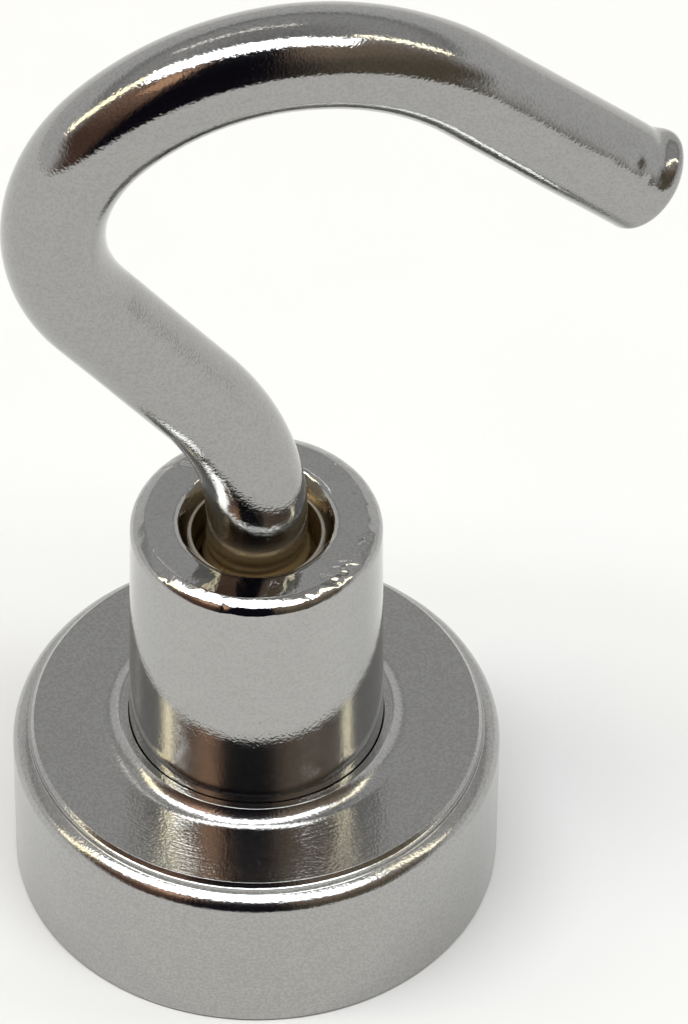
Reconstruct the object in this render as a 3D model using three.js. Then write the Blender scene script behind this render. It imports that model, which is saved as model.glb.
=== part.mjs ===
// A 12 mm pot magnet with an internally threaded neck and an open hook screwed into it.
// Millimetres, +Z up. The origin is the centre of the contact face, the neck's axis is Z,
// and the hook lies in the XZ plane with its mouth towards +X.

import * as THREE from 'three';
import { mergeVertices } from 'three/addons/utils/BufferGeometryUtils.js';

const ROUND_SIDES = 48; // facets round the cup, neck and magnet
const WIRE_SIDES = 28; // facets round the hook's wire
const EDGE_STEPS = 5; // facets across each rounded edge

// cup: a drawn steel pot, open downwards
const CUP_RADIUS = 6;
const CUP_HEIGHT = 4.5;
const CUP_WALL = 1.1;
const CUP_SHOULDER_RADIUS = 0.41; // rounding of the top outer edge, up to a sloping band
const CUP_SHOULDER_SWEEP = THREE.MathUtils.degToRad(58);
const CUP_SHOULDER_DROP = 0.7; // of its start below the flat
const CUP_STEP_RADIUS = 5.6; // fine riser between the band and the flat
const CUP_STEP_DROPS = [0.25, 0.11]; // of its foot and top below the flat
const CUP_FLAT_RADIUS = 5.47; // where the flat ends in a small chamfer
const CUP_RIM_CHAMFER = 0.08;

// collar: the lip of the cup's hole, turned up round the neck
const COLLAR_RADIUS = 3.3; // at its peak
const COLLAR_HEIGHT = 0.28;
const COLLAR_SEAM_HEIGHT = 0.24; // where its top meets the neck
const COLLAR_FOOT_RADIUS = 3.82; // where its concave sweep meets the cup's flat
const COLLAR_FILLET = 0.57;
const COLLAR_SWEEP = THREE.MathUtils.degToRad(58);

// magnet and what holds it in the cup
const MAGNET_RADIUS = 4.5;
const MAGNET_HEIGHT = 3;
const MAGNET_CHAMFER = 0.15;
const FILM_THICKNESS = 0.1;
const RESIN_EDGE_RECESS = 0.18; // the resin climbs a little up both walls
const RESIN_MIDDLE_RECESS = 0.25;

// neck: a turned bush, staked through the cup's floor
const NECK_RADIUS = 3.08;
const NECK_TOP = 11.5;
const NECK_RIM_ROUND = 0.4;
const SPIGOT_RADIUS = 2.2;
const STAKE_RADIUS = 2.6;
const STAKE_DEPTH = 0.4;
const MOUTH_RADIUS = 2.065; // where the neck's flat top ends
const MOUTH_ROUND = 0.25;
const MOUTH_HALF_ANGLE = THREE.MathUtils.degToRad(35); // of the cone below the rounding

// M3 x 0.5 thread, as closed rings: a turning hook then stays clear of the neck at every angle
const THREAD_PITCH = 0.5;
const BORE_MINOR_RADIUS = 1.28;
const BORE_MAJOR_RADIUS = 1.55;
const SHANK_ROOT_RADIUS = 1.2;
const SHANK_CREST_RADIUS = 1.47;
const SHANK_POINT_CHAMFER = 0.3;
const SHANK_THREADS = 12;

// hook: one bent wire, its bends as [radius, turn in degrees], a positive turn bending towards -X
const WIRE_RADIUS = 1.22;
const BEND_START_Z = 11.72;
const LOWER_BEND = [6.89, 37.5];
const BACK_STRAIGHT = 4.05;
const BACK_BEND = [4.1, -85.7];
const CROWN_BEND = [6.25, -82.8];
const TAIL_STRAIGHT = 5.85;
const TIP_ROUND = 0.18;
const BEND_STEP = 0.5; // greatest length between rings in a bend

const cupFloorZ = MAGNET_HEIGHT + FILM_THICKNESS;
const pocketRadius = CUP_RADIUS - CUP_WALL;
const shoulderCentreRadius = CUP_RADIUS - CUP_SHOULDER_RADIUS;
const shoulderCentreZ = CUP_HEIGHT - CUP_SHOULDER_DROP;
const mouthConeRadius = MOUTH_RADIUS - MOUTH_ROUND * Math.cos(MOUTH_HALF_ANGLE);
const mouthConeZ = NECK_TOP - MOUTH_ROUND * (1 - Math.sin(MOUTH_HALF_ANGLE));
const boreTopZ = mouthConeZ - (mouthConeRadius - BORE_MAJOR_RADIUS) / Math.tan(MOUTH_HALF_ANGLE);
const shankThreadTopZ = boreTopZ - THREAD_PITCH / 2; // puts the shank's crests in the bore's grooves
const shankBottomZ = shankThreadTopZ - SHANK_THREADS * THREAD_PITCH - SHANK_POINT_CHAMFER;

const nickel = new THREE.MeshStandardMaterial({ color: 0xbab7b0, roughness: 0.25, metalness: 1 });
const magnetPlating = new THREE.MeshStandardMaterial({ color: 0xc6c5c2, roughness: 0.2, metalness: 1 });
const resin = new THREE.MeshStandardMaterial({ color: 0x2a2b2d, roughness: 0.5, metalness: 0 });
const adhesive = new THREE.MeshStandardMaterial({ color: 0xb9a77c, roughness: 0.4, metalness: 0 });

// Points on an arc about (r, z), angles measured from the outward radius towards +Z.
function arc(r, z, radius, fromAngle, toAngle) {
  const points = [];
  for (let i = 0; i <= EDGE_STEPS; i++) {
    const angle = fromAngle + ((toAngle - fromAngle) * i) / EDGE_STEPS;
    points.push([r + radius * Math.cos(angle), z + radius * Math.sin(angle)]);
  }
  return points;
}

// A body of revolution from a counter-clockwise outline in r and z, turned so that its axis is Z.
function turned(outline, sides) {
  const points = outline.map(([r, z]) => new THREE.Vector2(r, z));
  const geometry = new THREE.LatheGeometry(points, sides);
  geometry.rotateX(Math.PI / 2);
  return welded(geometry);
}

// A closed outline off the axis: its last point meets its first.
function turnedRing(outline, sides) {
  return turned([...outline, outline[0]], sides);
}

function welded(geometry) {
  geometry.deleteAttribute('normal');
  geometry.deleteAttribute('uv');
  const merged = mergeVertices(geometry, 1e-5);
  const index = merged.getIndex().array;
  const kept = [];
  for (let i = 0; i < index.length; i += 3) {
    const [a, b, c] = [index[i], index[i + 1], index[i + 2]];
    if (a !== b && b !== c && c !== a) kept.push(a, b, c);
  }
  merged.setIndex(kept);
  merged.computeVertexNormals();
  return merged;
}

function named(name, geometry, material) {
  const mesh = new THREE.Mesh(geometry, material.clone());
  mesh.name = name;
  return mesh;
}

function potCup() {
  const outline = [
    [pocketRadius, CUP_RIM_CHAMFER],
    [pocketRadius + CUP_RIM_CHAMFER, 0],
    [CUP_RADIUS - CUP_RIM_CHAMFER, 0],
    [CUP_RADIUS, CUP_RIM_CHAMFER],
    ...arc(shoulderCentreRadius, shoulderCentreZ, CUP_SHOULDER_RADIUS, 0, CUP_SHOULDER_SWEEP),
    [CUP_STEP_RADIUS + 0.01, CUP_HEIGHT - CUP_STEP_DROPS[0]],
    [CUP_STEP_RADIUS, CUP_HEIGHT - CUP_STEP_DROPS[1]],
    [CUP_FLAT_RADIUS, CUP_HEIGHT],
    ...arc(COLLAR_FOOT_RADIUS, CUP_HEIGHT + COLLAR_FILLET, COLLAR_FILLET,
      -Math.PI / 2, -Math.PI / 2 - COLLAR_SWEEP),
    [COLLAR_RADIUS, CUP_HEIGHT + COLLAR_HEIGHT],
    [NECK_RADIUS, CUP_HEIGHT + COLLAR_SEAM_HEIGHT],
    [NECK_RADIUS, CUP_HEIGHT],
    [SPIGOT_RADIUS, CUP_HEIGHT],
    [SPIGOT_RADIUS, cupFloorZ + STAKE_DEPTH],
    [STAKE_RADIUS, cupFloorZ],
    [pocketRadius, cupFloorZ],
  ];
  return named('pot_cup', turnedRing(outline, ROUND_SIDES), nickel);
}

// Root and crest points of a ring thread, from its top thread down.
function threadRings(topZ, count, rootRadius, crestRadius) {
  const points = [];
  for (let i = 0; i < count; i++) {
    points.push([rootRadius, topZ - i * THREAD_PITCH]);
    points.push([crestRadius, topZ - (i + 0.5) * THREAD_PITCH]);
  }
  points.push([rootRadius, topZ - count * THREAD_PITCH]);
  return points;
}

function threadedBush() {
  const threads = Math.floor((boreTopZ - cupFloorZ) / THREAD_PITCH);
  const outline = [
    ...threadRings(boreTopZ, threads, BORE_MAJOR_RADIUS, BORE_MINOR_RADIUS),
    [BORE_MAJOR_RADIUS, cupFloorZ],
    [STAKE_RADIUS, cupFloorZ],
    [SPIGOT_RADIUS, cupFloorZ + STAKE_DEPTH],
    [SPIGOT_RADIUS, CUP_HEIGHT],
    [NECK_RADIUS, CUP_HEIGHT],
    ...arc(NECK_RADIUS - NECK_RIM_ROUND, NECK_TOP - NECK_RIM_ROUND, NECK_RIM_ROUND, 0, Math.PI / 2),
    ...arc(MOUTH_RADIUS, NECK_TOP - MOUTH_ROUND, MOUTH_ROUND, Math.PI / 2, Math.PI - MOUTH_HALF_ANGLE),
  ];
  return named('threaded_bush', turnedRing(outline, ROUND_SIDES), nickel);
}

function magnetDisc() {
  const outline = [
    [0, 0],
    [MAGNET_RADIUS - MAGNET_CHAMFER, 0],
    [MAGNET_RADIUS, MAGNET_CHAMFER],
    [MAGNET_RADIUS, MAGNET_HEIGHT - MAGNET_CHAMFER],
    [MAGNET_RADIUS - MAGNET_CHAMFER, MAGNET_HEIGHT],
    [0, MAGNET_HEIGHT],
  ];
  return named('magnet_disc', turned(outline, ROUND_SIDES), magnetPlating);
}

function adhesiveFilm() {
  const radius = MAGNET_RADIUS - MAGNET_CHAMFER;
  const outline = [
    [0, MAGNET_HEIGHT],
    [radius, MAGNET_HEIGHT],
    [radius, cupFloorZ],
    [0, cupFloorZ],
  ];
  return named('adhesive_film', turned(outline, ROUND_SIDES), adhesive);
}

function pottingRing() {
  const outline = [
    [MAGNET_RADIUS, RESIN_EDGE_RECESS],
    [(MAGNET_RADIUS + pocketRadius) / 2, RESIN_MIDDLE_RECESS],
    [pocketRadius, RESIN_EDGE_RECESS],
    [pocketRadius, cupFloorZ],
    [MAGNET_RADIUS - MAGNET_CHAMFER, cupFloorZ],
    [MAGNET_RADIUS - MAGNET_CHAMFER, MAGNET_HEIGHT],
    [MAGNET_RADIUS, MAGNET_HEIGHT - MAGNET_CHAMFER],
  ];
  return named('potting_ring', turnedRing(outline, ROUND_SIDES), resin);
}

// The wire's centreline after bending: straight lines and arcs in the XZ plane, from the shank's end up.
function hookSpans() {
  const spans = [];
  let [x, z, heading] = [0, shankBottomZ, Math.PI / 2];
  let start = 0;
  const add = (length, radius, turn) => {
    spans.push({ start, length, x, z, heading, radius, turn });
    if (turn === 0) {
      x += length * Math.cos(heading);
      z += length * Math.sin(heading);
    } else {
      const side = Math.sign(turn) * radius;
      x += side * (Math.sin(heading + turn) - Math.sin(heading));
      z -= side * (Math.cos(heading + turn) - Math.cos(heading));
      heading += turn;
    }
    start += length;
  };
  const bend = ([radius, degrees]) => {
    const turn = THREE.MathUtils.degToRad(degrees);
    add(radius * Math.abs(turn), radius, turn);
  };
  add(BEND_START_Z - shankBottomZ, 0, 0);
  bend(LOWER_BEND);
  add(BACK_STRAIGHT, 0, 0);
  bend(BACK_BEND);
  bend(CROWN_BEND);
  add(TAIL_STRAIGHT, 0, 0);
  return spans;
}

// Where a point of the straight blank goes when the wire is bent: s along the wire, side towards +X of it.
function bent(spans, s, side) {
  const span = spans.findLast((each) => s >= each.start) ?? spans[0];
  const along = s - span.start;
  let { x, z, heading } = span;
  if (span.turn === 0) {
    x += along * Math.cos(heading);
    z += along * Math.sin(heading);
  } else {
    const arm = Math.sign(span.turn) * span.radius;
    const turn = along / arm;
    x += arm * (Math.sin(heading + turn) - Math.sin(heading));
    z -= arm * (Math.cos(heading + turn) - Math.cos(heading));
    heading += turn;
  }
  return [x + side * Math.sin(heading), z - side * Math.cos(heading)];
}

// The straight blank's outline as [radius, distance from the shank's end].
function blankOutline(spans) {
  const last = spans[spans.length - 1];
  const wireEnd = last.start + last.length;
  const threadTop = shankThreadTopZ - shankBottomZ;
  const outline = [
    [0, 0],
    [SHANK_ROOT_RADIUS - SHANK_POINT_CHAMFER, 0],
    ...threadRings(threadTop, SHANK_THREADS, SHANK_ROOT_RADIUS, SHANK_CREST_RADIUS).reverse(),
  ];
  for (const span of spans.slice(1)) {
    const steps = span.turn === 0 ? 1 : Math.ceil(span.length / BEND_STEP);
    for (let i = 0; i < steps; i++) {
      outline.push([WIRE_RADIUS, span.start + (span.length * i) / steps]);
    }
  }
  outline.push(...arc(WIRE_RADIUS - TIP_ROUND, wireEnd - TIP_ROUND, TIP_ROUND, 0, Math.PI / 2));
  outline.push([0, wireEnd]);
  return outline;
}

function screwHook() {
  const spans = hookSpans();
  const geometry = turned(blankOutline(spans), WIRE_SIDES);
  const position = geometry.getAttribute('position');
  for (let i = 0; i < position.count; i++) {
    const [x, z] = bent(spans, position.getZ(i), position.getX(i));
    position.setX(i, x);
    position.setZ(i, z);
  }
  geometry.computeVertexNormals();
  return named('screw_hook', geometry, nickel);
}

const magnet = new THREE.Group();
magnet.add(potCup(), threadedBush(), magnetDisc(), adhesiveFilm(), pottingRing());

const hook = new THREE.Group();
hook.add(screwHook());

const hookMagnet = new THREE.Group();
hookMagnet.add(magnet, hook);

export default hookMagnet;
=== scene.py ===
import math

import bpy
import numpy as np
from mathutils import Matrix, Vector, noise


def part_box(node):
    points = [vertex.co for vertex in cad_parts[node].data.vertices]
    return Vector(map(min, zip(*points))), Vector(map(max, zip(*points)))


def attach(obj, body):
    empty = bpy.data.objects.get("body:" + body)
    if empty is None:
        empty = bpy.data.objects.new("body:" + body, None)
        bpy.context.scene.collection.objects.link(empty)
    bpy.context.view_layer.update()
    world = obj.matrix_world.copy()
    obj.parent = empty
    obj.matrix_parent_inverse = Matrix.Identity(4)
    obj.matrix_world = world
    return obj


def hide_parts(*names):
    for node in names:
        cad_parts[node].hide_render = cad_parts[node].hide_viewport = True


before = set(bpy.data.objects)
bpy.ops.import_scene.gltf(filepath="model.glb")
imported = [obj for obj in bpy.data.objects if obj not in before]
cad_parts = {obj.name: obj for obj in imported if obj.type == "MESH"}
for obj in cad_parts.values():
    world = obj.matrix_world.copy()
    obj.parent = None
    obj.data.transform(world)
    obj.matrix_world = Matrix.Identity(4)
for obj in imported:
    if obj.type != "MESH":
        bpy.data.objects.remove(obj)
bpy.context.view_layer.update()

# Small pot magnet with a threaded neck and a bent wire hook.
# Outlines are in millimetres and become metres when a mesh is made.
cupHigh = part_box("pot_cup")[1]
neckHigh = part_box("threaded_bush")[1]
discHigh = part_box("magnet_disc")[1]
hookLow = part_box("screw_hook")[0]
mm = 0.001
print("frame loaded:", ", ".join(sorted(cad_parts)))


# Camera. The hook's plane is turned a little from the picture plane, so the whole rig turns by that much.
view = {
    "turn": -10.0,  # degrees about Z
    "tilt": 45.776,  # degrees down from level
    "back": 128.133,  # millimetres from the neck's axis
    "up": 143.349,
    "lens": 269.89,
    "shift": 0.0856,
}
rigTurn = Matrix.Rotation(math.radians(view["turn"]), 4, "Z")


def makeCamera():
    data = bpy.data.cameras.new("camera")
    data.lens = view["lens"]
    data.sensor_width = 36.0
    data.shift_x = view["shift"]
    data.clip_start = 0.01
    data.clip_end = 50.0
    camera = bpy.data.objects.new("camera", data)
    camera.location = rigTurn @ Vector((0, -view["back"] * mm, view["up"] * mm))
    camera.rotation_euler = (math.radians(90 - view["tilt"]), 0, math.radians(view["turn"]))
    bpy.context.scene.collection.objects.link(camera)
    bpy.context.scene.camera = camera


makeCamera()
print("camera placed")


# A socket that can be used in sums.
class Value:
    def __init__(self, tree, socket):
        self.tree = tree
        self.socket = socket

    def maths(self, operation, *others):
        inputs = {i: each for i, each in enumerate((self, *others))}
        return self.tree.add("ShaderNodeMath", {"operation": operation}, inputs)

    def __add__(self, other):
        return self.maths("ADD", other)

    def __sub__(self, other):
        return self.maths("SUBTRACT", other)

    def __mul__(self, other):
        return self.maths("MULTIPLY", other)

    def __truediv__(self, other):
        return self.maths("DIVIDE", other)

    def __rsub__(self, other):
        return self.tree.add("ShaderNodeMath", {"operation": "SUBTRACT"}, {0: other, 1: self})

    def __pow__(self, other):
        return self.maths("POWER", other)

    __radd__ = __add__
    __rmul__ = __mul__

    def size(self):
        return self.maths("ABSOLUTE")

    # 0 below low, 1 above high, smooth between
    def rise(self, low, high):
        settings = {"interpolation_type": "SMOOTHSTEP"}
        inputs = {"Value": self, "From Min": low, "From Max": high}
        return self.tree.add("ShaderNodeMapRange", settings, inputs)


class Tree:
    def __init__(self, owner):
        owner.use_nodes = True
        self.nodes = owner.node_tree.nodes
        self.links = owner.node_tree.links
        self.nodes.clear()

    def add(self, kind, settings=None, inputs=None, output=0):
        node = self.nodes.new(kind)
        for key, setting in (settings or {}).items():
            if key == "stops":
                self.fillRamp(node.color_ramp, setting)
            else:
                setattr(node, key, setting)
        for key, each in (inputs or {}).items():
            if isinstance(each, Value):
                self.links.new(each.socket, node.inputs[key])
            else:
                node.inputs[key].default_value = each
        if len(node.outputs):
            return Value(self, node.outputs[output])

    def fillRamp(self, ramp, stops):
        while len(ramp.elements) < len(stops):
            ramp.elements.new(0.5)
        for element, (position, colour) in zip(ramp.elements, stops):
            element.position = position
            element.color = (*colour, 1)

    def blend(self, factor, low, high):
        colours = [each if isinstance(each, Value) else (*each, 1) for each in (low, high)]
        inputs = {0: factor, 6: colours[0], 7: colours[1]}
        return self.add("ShaderNodeMix", {"data_type": "RGBA"}, inputs, 2)

    def vectorMaths(self, operation, first, second):
        return self.add("ShaderNodeVectorMath", {"operation": operation}, {0: first, 1: second})

    # object coordinates counted in millimetres
    def place(self):
        position = self.add("ShaderNodeTexCoord", output="Object")
        return self.vectorMaths("MULTIPLY", position, (1000, 1000, 1000))

    def noise(self, place, scale, detail=2.0, roughness=0.5, distortion=0.0):
        inputs = {"Vector": place, "Scale": scale, "Detail": detail, "Roughness": roughness,
                  "Distortion": distortion}
        return self.add("ShaderNodeTexNoise", {}, inputs)

    def axes(self, place):
        return [self.add("ShaderNodeSeparateXYZ", {}, {0: place}, i) for i in range(3)]


def newMaterial(name):
    material = bpy.data.materials.new(name)
    return material, Tree(material)


# Finishes.
plate = {
    "colour": (0.422, 0.42, 0.41),
    "dark": (0.365, 0.36, 0.348),  # in the grain's hollows
    "paintedMouthShade": (0.40, 0.29, 0.135),  # painted brown shade deep in the neck's mouth, and a painted reflection of that mouth on the wire's shank
    "bloomSize": 1.3,  # millimetres
    "pits": 2.0,  # depth
    "streaks": 0.16,  # how much they darken
    "mouthShadeFade": 0.7,
}
# Bump heights are in thousandths of a millimetre, sizes in millimetres. Grain is the fine texture of
# the plating, peel its slow ripple, turning the fine lines round the axis.
finishes = {
    "cup": {"tone": 1.02, "roughness": 0.16, "speckle": 1.4, "grain": 4.4, "grainSize": 0.07,
            "peel": 4.0, "peelSize": 0.8, "turning": 3.4, "scratch": 0.0},
    "neck": {"tone": 1.03, "roughness": 0.07, "speckle": 0.7, "grain": 2.2, "grainSize": 0.075,
             "peel": 3.5, "peelSize": 0.9, "turning": 0.12, "scratch": 0.2},
    "wire": {"tone": 0.9, "roughness": 0.085, "speckle": 0.9, "grain": 3.3, "grainSize": 0.07,
             "peel": 6.0, "peelSize": 1.1, "turning": 0.0, "scratch": 0.0},
    "disc": {"tone": 1.0, "roughness": 0.11, "speckle": 0.5, "grain": 1.0, "grainSize": 0.07,
             "peel": 3.0, "peelSize": 1.4, "turning": 0.0, "scratch": 1.5},
}


# Bright nickel over steel. The third argument is the height below which a painted brown shade starts,
# inside the radius given by the fourth: painted shade deep in the neck's mouth, a painted reflection of
# that mouth on the wire.
def nickel(name, finish, mouthShadeBelow=None, mouthShadeRadius=99.0):
    material, tree = newMaterial(name)
    place = tree.place()
    x, y, z = tree.axes(place)
    radius = (x * x + y * y) ** 0.5
    grain = tree.noise(place, 1 / finish["grainSize"], 1.0, 0.5)
    peel = tree.noise(place, 1 / finish["peelSize"], 1.0, 0.4)
    bloom = tree.noise(place, 1 / plate["bloomSize"], 3.0, 0.55)
    turning = tree.add("ShaderNodeTexNoise", {"noise_dimensions": "1D"},
                       {"W": (radius + z) * 14.0 + bloom * 2.0, "Scale": 1.0, "Detail": 2.0})
    turning = (turning - 0.5) * peel.rise(0.4, 0.65)
    swept = tree.vectorMaths("MULTIPLY", place, (1.0, 1.0, 5.0))
    streak = tree.noise(swept, 1.1, 2.0, 0.5, 0.8)
    hairs = tree.noise(tree.vectorMaths("MULTIPLY", place, (1.0, 6.0, 2.0)), 0.9, 2.0, 0.5, 0.5)
    scratch = (hairs - 0.5).size().rise(0.006, 0.0) * bloom.rise(0.5, 0.6)
    pits = tree.add("ShaderNodeTexVoronoi", {}, {"Vector": place, "Scale": 2.2}).rise(0.07, 0.03)
    pits = pits * bloom.rise(0.5, 0.58)
    height = grain * finish["grain"] + peel * finish["peel"] + turning * finish["turning"]
    height = height - scratch * finish["scratch"] - pits * plate["pits"]
    normal = tree.add("ShaderNodeBump", {}, {"Strength": 1.0, "Distance": 1e-6, "Height": height})
    hollow = grain.rise(0.62, 0.3) * finish["speckle"] + streak.rise(0.6, 0.4) * plate["streaks"]
    tones = [tuple(part * finish["tone"] for part in plate[key]) for key in ("colour", "dark")]
    shade = tree.blend(hollow, *tones)
    rough = grain * 0.03 + bloom * 0.03 + scratch * 0.1 + (finish["roughness"] - 0.03)
    metal = 1.0
    # Painted shade: a dull, rougher brown blended in below a height and inside a radius. It stands in for
    # shade deep in the neck's mouth, and on the wire for the reflection of that mouth.
    if mouthShadeBelow is not None:
        paintedMouthShade = z.rise(mouthShadeBelow, mouthShadeBelow - plate["mouthShadeFade"])
        paintedMouthShade = paintedMouthShade * radius.rise(mouthShadeRadius, mouthShadeRadius - 0.15)
        shade = tree.blend(paintedMouthShade * (bloom * 0.5 + 0.7), shade, plate["paintedMouthShade"])
        rough = rough + paintedMouthShade * 0.15
        metal = 1 - paintedMouthShade * 0.35
    surface = tree.add("ShaderNodeBsdfPrincipled", {},
                       {"Base Color": shade, "Metallic": metal, "Roughness": rough, "Normal": normal})
    tree.add("ShaderNodeOutputMaterial", {}, {"Surface": surface})
    return material


resinLook = {"colour": (0.018, 0.018, 0.021), "dust": (0.06, 0.058, 0.055)}


# Dark potting resin: glossy, with a dusty film and small burst bubbles.
def resin(name):
    material, tree = newMaterial(name)
    place = tree.place()
    cloud = tree.noise(place, 1.4, 4.0, 0.6)
    ripple = tree.noise(place, 4.0, 2.0)
    bubbles = tree.add("ShaderNodeTexVoronoi", {}, {"Vector": place, "Scale": 5.0}).rise(0.16, 0.08)
    height = ripple * 10.0 - bubbles * 6.0
    normal = tree.add("ShaderNodeBump", {}, {"Distance": 1e-6, "Height": height})
    shade = tree.blend(cloud.rise(0.5, 0.75), resinLook["colour"], resinLook["dust"])
    rough = cloud * 0.35 + 0.12
    surface = tree.add("ShaderNodeBsdfPrincipled", {},
                       {"Base Color": shade, "Roughness": rough, "Normal": normal})
    tree.add("ShaderNodeOutputMaterial", {}, {"Surface": surface})
    return material


glueLook = {"colour": (0.46, 0.36, 0.19), "cloud": (0.62, 0.55, 0.38)}


# Cured amber glue, clouded with trapped air.
def glue(name):
    material, tree = newMaterial(name)
    place = tree.place()
    cloud = tree.noise(place, 2.2, 4.0, 0.6)
    normal = tree.add("ShaderNodeBump", {}, {"Distance": 1e-6, "Height": cloud * 12.0})
    shade = tree.blend(cloud.rise(0.4, 0.65), glueLook["colour"], glueLook["cloud"])
    surface = tree.add("ShaderNodeBsdfPrincipled", {},
                       {"Base Color": shade, "Roughness": cloud * 0.3 + 0.2, "Normal": normal})
    tree.add("ShaderNodeOutputMaterial", {}, {"Surface": surface})
    return material


# Points on an arc about (r, z), angles in degrees from the outward radius towards +Z.
def arc(r, z, radius, start, end, steps=12):
    turns = np.radians(np.linspace(start, end, steps + 1))
    return [(r + radius * math.cos(a), z + radius * math.sin(a)) for a in turns]


# Extra rows along an outline: close beside each corner so that shading stays crisp, then evenly.
def fine(outline, longest=0.25, guard=0.02, closed=True):
    rows = [] if closed else [outline[-1]]
    loop = list(outline) + ([outline[0]] if closed else [])
    for start, end in zip(loop, loop[1:]):
        span = math.dist(start[:2], end[:2])
        rows.append(start)
        if span < 4 * guard:
            continue
        count = max(1, round((span - 2 * guard) / longest))
        for share in [guard / span + (1 - 2 * guard / span) * i / count for i in range(count + 1)]:
            rows.append(tuple(a + (b - a) * share for a, b in zip(start, end)))
    return rows if closed else rows[1:] + rows[:1]


# Height of a rounded V thread, 0 at the root and 1 at the crest, along a right-hand helix.
def threadWave(z, angle, pitch):
    phase = (z / pitch - angle / (2 * math.pi)) % 1.0
    return np.clip(1.25 * (1 - abs(2 * phase - 1)) - 0.1, 0, 1)


# A body of revolution from a closed anticlockwise outline. A third number on a row is its thread's depth.
def turnedMesh(outline, sides, pitch=0.5):
    angles = np.arange(sides) * 2 * math.pi / sides
    points, rows, faces = [], [], []
    for r, z, *depth in outline:
        if r < 1e-9:
            rows.append([len(points)])
            points.append((0.0, 0.0, z))
            continue
        wave = threadWave(z, angles, pitch) * (depth[0] if depth else 0.0)
        reach = r + wave
        rows.append(list(range(len(points), len(points) + sides)))
        points.extend(zip(reach * np.cos(angles), reach * np.sin(angles), np.full(sides, z)))
    for low, high in zip(rows, rows[1:] + rows[:1]):
        for i in range(sides):
            j = (i + 1) % sides
            if len(low) > 1 and len(high) > 1:
                faces.append((low[i], low[j], high[j], high[i]))
            elif len(low) > 1:
                faces.append((low[i], low[j], high[0]))
            elif len(high) > 1:
                faces.append((low[0], high[j], high[i]))
    return points, faces


def makePiece(name, points, faces, sharp=50):
    mesh = bpy.data.meshes.new(name)
    mesh.from_pydata((np.array(points, float) * mm).tolist(), [], faces)
    mesh.validate()
    mesh.shade_smooth()
    mesh.set_sharp_from_angle(angle=math.radians(sharp))
    piece = bpy.data.objects.new(name, mesh)
    bpy.context.scene.collection.objects.link(piece)
    return piece


def readMesh(piece, what):
    data = np.zeros(len(piece.data.vertices) * 3, np.float32)
    piece.data.vertices.foreach_get(what, data)
    return data.reshape(-1, 3).astype(float)


def writeMesh(piece, places):
    piece.data.vertices.foreach_set("co", places.astype(np.float32).ravel())
    piece.data.update()


# Presses marks into a surface: each is a start, an end, a radius and a depth, all in millimetres.
def press(piece, marks):
    places = readMesh(piece, "co")
    normals = readMesh(piece, "normal")
    for start, end, radius, depth in marks:
        along = np.array(end, float) - np.array(start, float)
        offset = places / mm - np.array(start, float)
        share = np.clip(offset @ along / max(along @ along, 1e-9), 0, 1)
        distance = np.linalg.norm(offset - share[:, None] * along, axis=1) / radius
        places -= normals * (np.exp(-distance ** 2) * depth * mm)[:, None]
    writeMesh(piece, places)


# Slow unevenness, size and depth in millimetres, everywhere or only above a height. Start picks where
# in the noise it begins.
def roughen(piece, size, depth, start, above=None):
    places = readMesh(piece, "co")
    normals = readMesh(piece, "normal")
    offset = Vector((start, 1.7 * start, 0.6 * start))
    waves = np.array([noise.noise(Vector(p / (mm * size)) + offset) for p in places])
    if above is not None:
        waves *= np.clip((places[:, 2] / mm - above) / 0.1, 0, 1)
    writeMesh(piece, places + normals * (waves * depth * mm)[:, None])


def finishPiece(piece, material, body, node):
    piece.data.materials.append(material)
    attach(piece, body)
    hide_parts(node)


# Pot cup.
cup = {
    "radius": cupHigh.x / mm,
    "height": 4.5,
    "wall": 1.1,
    "floorZ": 3.1,
    "shoulder": 0.41,  # rounding of the outer edge
    "shoulderDrop": 0.7,  # of the rounding's centre below the flat
    "bandRadius": 1.0,  # the rounding carries on as a wider arc, a sloping band
    "bandSlopes": (58, 70),  # degrees from level to the band's normal, at its foot and top
    # a fine riser from the band to the flat: out from the rounding's centre, down from the flat
    "stepFoot": (0.022, 0.25),
    "stepTurn": (-0.01, 0.125),
    "stepRound": 0.02,
    "stepHead": (-0.03, 0.095),
    "flatEdge": (0.12, 0.012),  # where the flat ends, inside the rounding's centre, and its rounding
    "rimRound": 0.08,
    "sides": 320,
}
# The lip of the cup's hole, turned up round the neck.
collar = {
    "foot": 3.82,  # radius where its concave sweep leaves the flat
    "fillet": 0.57,
    "sweep": 58,  # degrees
    "lip": 0.018,
    "seam": 4.73,  # height of the groove's bottom, where collar and neck meet
    "gap": (0.006, 0.024),  # of the groove, at its bottom and top
}
# The neck's spigot goes through the cup's floor and is spread in a countersink.
stake = {"spigot": 2.2, "flare": 2.6, "depth": 0.4}
neck = {
    "radius": 3.04,  # at the top; it widens a little downwards
    "footRadius": 3.13,
    "top": neckHigh.z / mm,
    "rimRound": 0.31,  # the outer corner, below a worn sloping band
    "rimBand": 0.23,  # width
    "bandRadius": 1.5,
    "bandSlope": 58,  # degrees from level to the band's normal at its foot
    "faceRound": 0.12,  # between the band and the ring face
    "mouth": 2.065,
    "mouthRound": 0.25,
    "cone": 35,  # degrees from the axis
    "ledge": 0.085,  # width at the bottom of the cone
    "ledgeRound": 0.045,
    "bore": 1.55,
    "thread": -0.17,  # depth, inwards
    "lead": 0.9,  # smooth bore above the thread
    "pitch": 0.5,
    "sides": 480,
}


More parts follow.
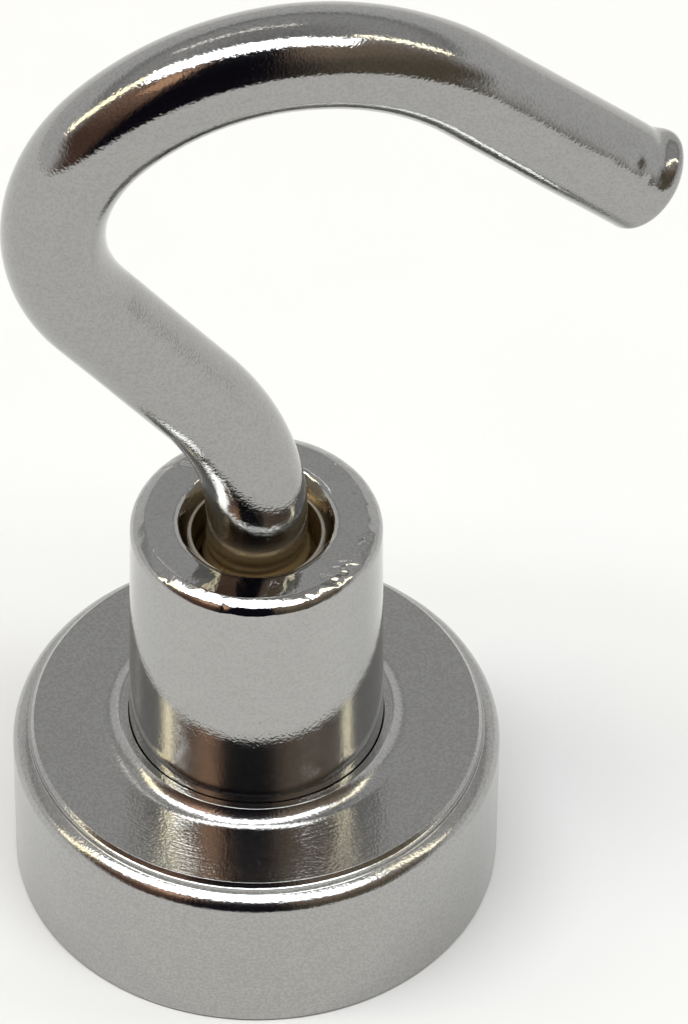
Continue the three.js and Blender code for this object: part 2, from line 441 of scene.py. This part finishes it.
def makeCup():
    pocket = cup["radius"] - cup["wall"]
    rim, top, rounding = cup["rimRound"], cup["height"], cup["shoulder"]
    edge = cup["radius"] - rounding
    foot, head = cup["bandSlopes"]
    inset = cup["bandRadius"] - rounding
    bandR = edge - inset * math.cos(math.radians(foot))
    bandZ = top - cup["shoulderDrop"] - inset * math.sin(math.radians(foot))
    stepFoot, stepTurn, stepHead = [(edge + cup[key][0], top - cup[key][1])
                                    for key in ("stepFoot", "stepTurn", "stepHead")]
    flatInset, flatRound = cup["flatEdge"]
    shoulder = [
        *arc(edge, top - cup["shoulderDrop"], rounding, 0, foot, 16),
        *arc(bandR, bandZ, cup["bandRadius"], foot, head, 10)[1:],
        stepFoot,
        *arc(*stepTurn, cup["stepRound"], 10, 70, 5),
        stepHead,
        *arc(edge - flatInset, top - flatRound, flatRound, 35, 90, 3),
    ]
    fillet, lip = collar["fillet"], collar["lip"]
    sweep = arc(collar["foot"], top + fillet, fillet, -90, -90 - collar["sweep"], 20)
    steep = math.radians(90 - collar["sweep"])
    lipR = sweep[-1][0] - lip * math.cos(steep)
    lipZ = sweep[-1][1] - lip * math.sin(steep)
    crease, land = [neck["footRadius"] + gap for gap in collar["gap"]]
    outline = [
        *arc(pocket + rim, rim, rim, 180, 270, 4),
        *arc(cup["radius"] - rim, rim, rim, 270, 360, 4),
        *shoulder,
        *sweep[:-1],
        *arc(lipR, lipZ, lip, 90 - collar["sweep"], 90, 6),
        (land, lipZ + lip),
        (crease, collar["seam"]),
        (crease, top),
        (stake["spigot"], top),
        (stake["spigot"], cup["floorZ"] + stake["depth"]),
        (stake["flare"], cup["floorZ"]),
        (pocket, cup["floorZ"]),
    ]
    piece = makePiece("potCup", *turnedMesh(fine(outline, 0.15), cup["sides"]))
    roughen(piece, 2.4, 0.006, 3.0)
    roughen(piece, 0.4, 0.0025, 11.0)
    finishPiece(piece, nickel("cupNickel", finishes["cup"]), "pot", "pot_cup")


makeCup()
print("pot cup made")


# Threaded bush. Nicks on the rim: degrees from the front, radius where each starts and ends, size and
# depth.
rimNicks = [(24, 2.8, 2.97, 0.05, 0.01), (-20, 2.78, 2.95, 0.05, 0.01), (-52, 2.72, 2.9, 0.04, 0.014),
            (-97, 2.2, 2.5, 0.03, 0.008), (-140, 2.3, 2.62, 0.04, 0.02), (-133, 2.6, 2.8, 0.05, 0.016),
            (128, 2.45, 2.6, 0.04, 0.014), (110, 2.5, 2.62, 0.035, 0.012), (95, 2.55, 2.7, 0.03, 0.01)]
# Where a tool has rubbed the rim: ranges for chance marks, the reach outwards from the inner radius.
rubbed = {
    "count": 26,
    "degrees": (36, 76),
    "inner": (2.4, 2.8),
    "reach": (0.08, 0.26),
    "outermost": 2.94,
    "size": (0.025, 0.05),
    "depth": (0.005, 0.017),
}


def rubMarks():
    chance = np.random.default_rng(5)
    marks = []
    for degrees in chance.uniform(*rubbed["degrees"], rubbed["count"]):
        inner = chance.uniform(*rubbed["inner"])
        outer = min(rubbed["outermost"], inner + chance.uniform(*rubbed["reach"]))
        size = chance.uniform(*rubbed["size"])
        depth = chance.uniform(*rubbed["depth"])
        marks.append((degrees, inner, outer, size, depth))
    return marks


def makeBush():
    top, rim, lip = neck["top"], neck["rimRound"], neck["mouthRound"]
    cone = math.radians(neck["cone"])
    coneRadius = neck["mouth"] - lip * math.cos(cone)
    coneZ = top - lip * (1 - math.sin(cone))
    ledgeRadius = neck["bore"] + neck["ledge"]
    ledgeZ = coneZ - (coneRadius - ledgeRadius) / math.tan(cone)
    turnIn = neck["ledgeRound"]  # where the ledge turns down into the bore
    boreTop = ledgeZ - turnIn
    # the band is part of a wide arc that carries on from the corner's
    band, foot, over = neck["bandRadius"], neck["bandSlope"], neck["faceRound"]
    head = foot + math.degrees(neck["rimBand"] / band)
    footTurn, headTurn = math.radians(foot), math.radians(head)
    drop = band * (math.sin(headTurn) - math.sin(footTurn)) + over * (1 - math.sin(headTurn))
    cornerZ = top - drop - rim * math.sin(footTurn)
    bandR = neck["radius"] - rim + (rim - band) * math.cos(footTurn)
    bandZ = cornerZ + (rim - band) * math.sin(footTurn)
    faceR = bandR + band * math.cos(headTurn)
    wall = [
        (stake["spigot"], cup["floorZ"] + stake["depth"]),
        (stake["spigot"], cup["height"]),
        (neck["footRadius"], cup["height"]),
        (neck["footRadius"], collar["seam"]),
        (neck["radius"], cornerZ),
    ]
    face = [
        *arc(neck["radius"] - rim, cornerZ, rim, 0, foot, 12),
        *arc(bandR, bandZ, band, foot, head, 8)[1:],
        *arc(faceR - over * math.cos(headTurn), top - over, over, head, 90, 5)[1:],
        *arc(neck["mouth"], top - lip, lip, 90, 180 - neck["cone"], 12),
        (ledgeRadius, ledgeZ - 0.008),
        *arc(neck["bore"] + turnIn, boreTop, turnIn, 85, 180, 8),
    ]
    bore = []
    for z in np.arange(boreTop - 0.02, cup["floorZ"] + 0.03, -0.05):
        fade = min(1, max(0, boreTop - z - neck["lead"]) / 0.3)
        bore.append((neck["bore"], z, neck["thread"] * fade))
    rows = fine(wall, 0.2, closed=False) + fine(face, 0.035, 0.01, closed=False) + bore
    rows += fine([(neck["bore"], cup["floorZ"]), (stake["flare"], cup["floorZ"])], 0.3, closed=False)
    piece = makePiece("threadedBush", *turnedMesh(rows, neck["sides"], neck["pitch"]))
    roughen(piece, 2.0, 0.004, 5.0)
    roughen(piece, 0.3, 0.007, 9.0, top - 0.3)
    marks = []
    for degrees, inner, outer, size, depth in rimNicks + rubMarks():
        start, end = [math.radians(degrees + skew - 90 + view["turn"]) for skew in (0, 5)]
        low = top - 0.5 * max(0.0, outer - faceR)  # the band falls away below the ring face
        marks.append(((inner * math.cos(start), inner * math.sin(start), top),
                      (outer * math.cos(end), outer * math.sin(end), low), size, depth))
    press(piece, marks)
    # painted brown shade deep in the neck's mouth, below the ring face and inside a radius of 1.9 mm
    material = nickel("neckNickel", finishes["neck"], top - 0.15, 1.9)
    finishPiece(piece, material, "pot", "threaded_bush")


makeBush()
print("threaded bush made")


# Magnet, resin and glue.
disc = {"rounding": 0.15, "height": 3.0, "sides": 192}
resinRing = {"edge": 0.18, "middle": 0.25, "bubbles": 9}
glueSides = 96


def makeDisc():
    radius, high, rounding = discHigh.x / mm, disc["height"], disc["rounding"]
    outline = [
        (0, 0),
        *arc(radius - rounding, rounding, rounding, 270, 360, 6),
        *arc(radius - rounding, high - rounding, rounding, 0, 90, 6),
        (0, high),
    ]
    rows = [row for row in fine(outline, 0.3) if row[0] > 1e-9 or row in ((0, 0), (0, high))]
    piece = makePiece("magnetDisc", *turnedMesh(rows, disc["sides"]))
    roughen(piece, 1.6, 0.003, 8.0)
    finishPiece(piece, nickel("discNickel", finishes["disc"]), "pot", "magnet_disc")


def makeResinRing():
    inner, outer = discHigh.x / mm, cup["radius"] - cup["wall"]
    middle = (inner + outer) / 2
    sag = resinRing["middle"] - resinRing["edge"]
    meniscus = [(inner + (outer - inner) * t, resinRing["middle"] - sag * (2 * t - 1) ** 2)
                for t in np.linspace(0, 1, 9)]
    outline = [
        *meniscus,
        (outer, cup["floorZ"]),
        (inner - disc["rounding"], cup["floorZ"]),
        (inner - disc["rounding"], disc["height"]),
        (inner, disc["height"] - disc["rounding"]),
    ]
    piece = makePiece("pottingRing", *turnedMesh(fine(outline, 0.3), disc["sides"]))
    bubbles = []
    for i in range(resinRing["bubbles"]):
        angle = 2.4 * i
        spot = (middle * math.cos(angle), middle * math.sin(angle), resinRing["middle"])
        bubbles.append((spot, spot, 0.07, 0.05))
    press(piece, bubbles)
    finishPiece(piece, resin("pottingResin"), "pot", "potting_ring")


def makeGlueFilm():
    low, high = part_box("adhesive_film")
    radius = high.x / mm
    outline = [(0, low.z / mm), (radius, low.z / mm), (radius, high.z / mm), (0, high.z / mm)]
    rows = [row for row in fine(outline, 0.4) if row[0] > 1e-9 or row in (outline[0], outline[3])]
    piece = makePiece("adhesiveFilm", *turnedMesh(rows, glueSides))
    finishPiece(piece, glue("curedGlue"), "pot", "adhesive_film")


makeDisc()
makeResinRing()
makeGlueFilm()
print("magnet, resin and glue made")


# Hook. The wire is drawn straight and then bent, as the real one is: bends are (radius, degrees),
# with + towards -X.
hook = {
    "wire": 1.22,
    "bendStart": 11.72,
    "lowerBend": (6.89, 37.5),
    "back": 4.05,
    "backBend": (4.1, -85.7),
    "crownBend": (6.25, -82.8),
    "tail": 5.85,
    "tipRound": 0.3,
    "root": 1.18,
    "crest": 0.13,
    "threadTop": 10.7,
    "threadRow": 0.045,  # spacing of the mesh's rows along the thread and near the end
    "wireRow": 0.09,
    "sides": 96,
}
# The sheared end: the cut slopes back on one side and throws up a burr on the other, with a slight
# waist behind it. Sides are degrees round the wire from its inner side, back is from the end.
tip = {
    "length": 1.2,
    "slope": 0.1,
    "slopeSide": -50,
    "burr": 0.15,
    "burrSide": 178,
    "burrBack": (0.36, 0.24),  # its middle and its spread
    "waist": 0.02,
    "waistBack": (0.8, 0.18),
    "dome": 0.03,
}


# Straight lines and arcs of the centreline, from the shank's end up.
def hookSpans():
    start, x, z, heading = 0.0, 0.0, hookLow.z / mm, math.pi / 2
    bends = [(hook["bendStart"] - z, 0, 0)]
    for radius, degrees in (hook["lowerBend"], hook["backBend"], hook["crownBend"]):
        turn = math.radians(degrees)
        bends.append((radius * abs(turn), radius, turn))
    bends.insert(2, (hook["back"], 0, 0))
    bends.append((hook["tail"], 0, 0))
    spans = []
    for length, radius, turn in bends:
        spans.append((start, length, x, z, heading, radius, turn))
        if turn:
            arm = math.copysign(radius, turn)
            x += arm * (math.sin(heading + turn) - math.sin(heading))
            z -= arm * (math.cos(heading + turn) - math.cos(heading))
            heading += turn
        else:
            x += length * math.cos(heading)
            z += length * math.sin(heading)
        start += length
    return spans


# Carries a point of the straight blank to where bending the wire takes it.
def bendPoint(spans, side, across, s):
    span = next(each for each in reversed(spans) if s >= each[0] - 1e-9 or each is spans[0])
    start, length, x, z, heading, radius, turn = span
    along = s - start
    if turn:
        arm = math.copysign(radius, turn)
        swing = along / arm
        x += arm * (math.sin(heading + swing) - math.sin(heading))
        z -= arm * (math.cos(heading + swing) - math.cos(heading))
        heading += swing
    else:
        x += along * math.cos(heading)
        z += along * math.sin(heading)
    return x + side * math.sin(heading), across, z - side * math.cos(heading)


# Tool dents near the end: distance from it, degrees round the wire, size and depth.
tipDents = [(1.5, -136, 0.15, 0.028), (1.05, -152, 0.13, 0.024), (1.0, -122, 0.12, 0.014),
            (0.75, -112, 0.12, 0.008), (0.5, -150, 0.13, 0.012), (2.1, -118, 0.15, 0.005)]


# Shapes the end of the straight blank.
def shapeTip(x, y, s, wireEnd):
    back = wireEnd - s
    if back > tip["length"]:
        return x, y, s
    side = math.atan2(y, x)
    reach = math.hypot(x, y) / hook["wire"]
    facing = 0.5 + 0.5 * math.cos(side - math.radians(tip["slopeSide"]))
    s -= tip["slope"] * reach * facing ** 1.5 * max(0.0, 1 - back / tip["length"]) ** 1.5
    facing = max(0.0, math.cos(side - math.radians(tip["burrSide"]))) ** 3 * reach ** 3
    swell, waist = [tip[key] * math.exp(-((back - tip[key + "Back"][0]) / tip[key + "Back"][1]) ** 2)
                    for key in ("burr", "waist")]
    grow = 1 + facing * (swell - waist) / hook["wire"]
    return x * grow, y * grow, s


def makeHook():
    spans = hookSpans()
    wireEnd = spans[-1][0] + spans[-1][1]
    bottom = hookLow.z / mm
    threadTop = hook["threadTop"] - bottom
    root, wire, rounding, dome = hook["root"], hook["wire"], hook["tipRound"], tip["dome"]
    rows = [(0, 0), (root - 0.3, 0), (root, 0.3)]
    for s in np.arange(0.35, threadTop + 0.3, hook["threadRow"]):
        fade = min(1.0, (s - 0.3) / 0.3, max(0.0, (threadTop + 0.25 - s) / 0.35))
        rows.append((root, s, hook["crest"] * fade))
    tipStart = wireEnd - tip["length"]
    straight = [*np.arange(threadTop + 0.32, tipStart, hook["wireRow"]),
                *np.arange(tipStart, wireEnd - rounding, hook["threadRow"])]
    blend = [min(1.0, (s - straight[0]) / 0.15) for s in straight]
    rows += [(root + (wire - root) * b, s) for s, b in zip(straight, blend)]
    rows += arc(wire - rounding, wireEnd - rounding, rounding, 0, 80, 8)
    rows += [(wire * t, wireEnd + dome * (1 - t * t)) for t in np.linspace(0.82, 0.06, 12)]
    rows.append((0, wireEnd + dome))
    points, faces = turnedMesh(rows, hook["sides"], neck["pitch"])
    shaped = [shapeTip(x, y, s, wireEnd) for x, y, s in points]
    piece = makePiece("screwHook", [bendPoint(spans, x, y, s) for x, y, s in shaped], faces)
    roughen(piece, 3.0, 0.014, 2.0)
    roughen(piece, 0.9, 0.003, 7.0)
    dents = []
    for along, degrees, size, depth in tipDents:
        side = math.radians(degrees)
        spot = bendPoint(spans, wire * math.cos(side), wire * math.sin(side), wireEnd - along)
        dents.append((spot, spot, size, depth))
    press(piece, dents)
    # painted reflection of the neck's shaded mouth on the shank, below a height of 11.9 mm
    material = nickel("wireNickel", finishes["wire"], 11.9)
    finishPiece(piece, material, "hook", "screw_hook")


makeHook()
print("hook made")


# Studio.
studio = {
    "floor": 0.82,
    "backdrop": (0.97, 0.97, 0.97),
    "reach": 12.0,  # metres from the middle to the floor's sides
    "distance": 4.0,  # metres from the part to each light
}
# What the metal reflects on the camera's side of the room, from the horizon up.
room = {
    "dark": (0.008, 0.007, 0.012),
    "leftLow": (0.13, 0.075, 0.055),
    "leftHigh": (0.38, 0.235, 0.165),
    "rightLow": (0.16, 0.135, 0.10),
    "rightHigh": (0.33, 0.25, 0.19),
    # brightness behind the part, from the floor up: sine of the elevation and tone
    "pale": [(0.0, 0.80), (0.46, 0.76), (0.53, 0.42), (0.58, 0.42), (0.66, 0.54), (0.84, 0.54),
             (1.0, 0.36)],
}
# Azimuth is from the camera's side, width and height are in degrees. Lean tips a light over to the right.
lamps = {
    "overheadStrip": {"azimuth": -9, "elevation": 78, "width": 67, "height": 17, "radiance": 7.6,
                      "colour": (0.93, 0.975, 1.0), "lean": -2.5},
    "backStrip": {"azimuth": 180, "elevation": 62, "width": 36, "height": 2.5, "radiance": 1.8,
                  "colour": (1.0, 0.98, 0.9), "lean": -14.0},
    "lampLeft": {"azimuth": -87, "elevation": 40, "width": 8, "height": 40, "radiance": 3.4,
                 "colour": (1.0, 0.89, 0.58)},
    "lampRight": {"azimuth": 90, "elevation": 48, "width": 5, "height": 30, "radiance": 4.0,
                  "colour": (1.0, 0.93, 0.68)},
    "ember": {"azimuth": -45, "elevation": 50, "width": 13, "height": 14, "radiance": 0.6,
              "colour": (1.0, 0.56, 0.32)},
}


def makeFloor():
    mesh = bpy.data.meshes.new("floor")
    reach = studio["reach"]
    corners = [(-reach, -reach, 0), (reach, -reach, 0), (reach, reach, 0), (-reach, reach, 0)]
    mesh.from_pydata(corners, [], [(0, 1, 2, 3)])
    floor = bpy.data.objects.new("floor", mesh)
    bpy.context.scene.collection.objects.link(floor)
    material, tree = newMaterial("paleFloor")
    place = tree.place()
    fleck = tree.noise(place, 0.25, 3.0)
    shade = tree.blend(fleck, (studio["floor"] - 0.01,) * 3, (studio["floor"] + 0.01,) * 3)
    surface = tree.add("ShaderNodeBsdfDiffuse", {}, {"Color": shade})
    tree.add("ShaderNodeOutputMaterial", {}, {"Surface": surface})
    mesh.materials.append(material)


# A soft light that faces the part.
def softLight(name, azimuth, elevation, width, height, radiance, colour, lean=0.0):
    distance = studio["distance"]
    data = bpy.data.lights.new(name, "AREA")
    data.shape = "RECTANGLE"
    data.size = 2 * distance * math.tan(math.radians(width / 2))
    data.size_y = 2 * distance * math.tan(math.radians(height / 2))
    data.energy = radiance * math.pi * data.size * data.size_y
    data.color = colour
    around, up = math.radians(azimuth), math.radians(elevation)
    way = Vector((math.sin(around) * math.cos(up), -math.cos(around) * math.cos(up), math.sin(up)))
    facing = way.to_track_quat("Z", "Y").to_matrix().to_4x4()
    light = bpy.data.objects.new(name, data)
    light.matrix_world = (rigTurn @ Matrix.Rotation(math.radians(lean), 4, "Y")
                          @ Matrix.Translation(way * distance) @ facing)
    bpy.context.scene.collection.objects.link(light)


# A plain room: pale behind the part, dark and warm towards the camera, seen only in the reflections.
def makeRoom():
    world = bpy.data.worlds.new("room")
    bpy.context.scene.world = world
    tree = Tree(world)
    way = tree.add("ShaderNodeTexCoord", output="Generated")
    turned = tree.add("ShaderNodeVectorRotate", {"rotation_type": "Z_AXIS"},
                      {"Vector": way, "Angle": math.radians(-view["turn"])})
    side, away, up = tree.axes(turned)
    stops = [(at, (tone,) * 3) for at, tone in room["pale"]]
    pale = tree.add("ShaderNodeValToRGB", {"stops": stops}, {"Fac": up})
    around = side / (1.0 - up * up).maths("MAXIMUM", 0.001) ** 0.5
    climb = up.rise(0.35, 0.75)
    left = tree.blend(climb, room["leftLow"], room["leftHigh"])
    right = tree.blend(climb, room["rightLow"], room["rightHigh"])
    near = tree.blend(around.rise(-0.42, -0.62), room["dark"], left)
    near = tree.blend(around.rise(0.15, 0.5), near, right)
    level = up.rise(0.35, 0.1)
    colour = tree.blend((away + level * 0.35).rise(-0.35, 0.1), near, pale)
    seen = tree.add("ShaderNodeLightPath", output="Is Camera Ray")
    colour = tree.blend(seen, colour, studio["backdrop"])
    surface = tree.add("ShaderNodeBackground", {}, {"Color": colour})
    tree.add("ShaderNodeOutputWorld", {}, {"Surface": surface})


makeFloor()
makeRoom()
for name, lamp in lamps.items():
    softLight(name, **lamp)
bpy.context.scene.view_settings.view_transform = "Standard"
print("studio lit")
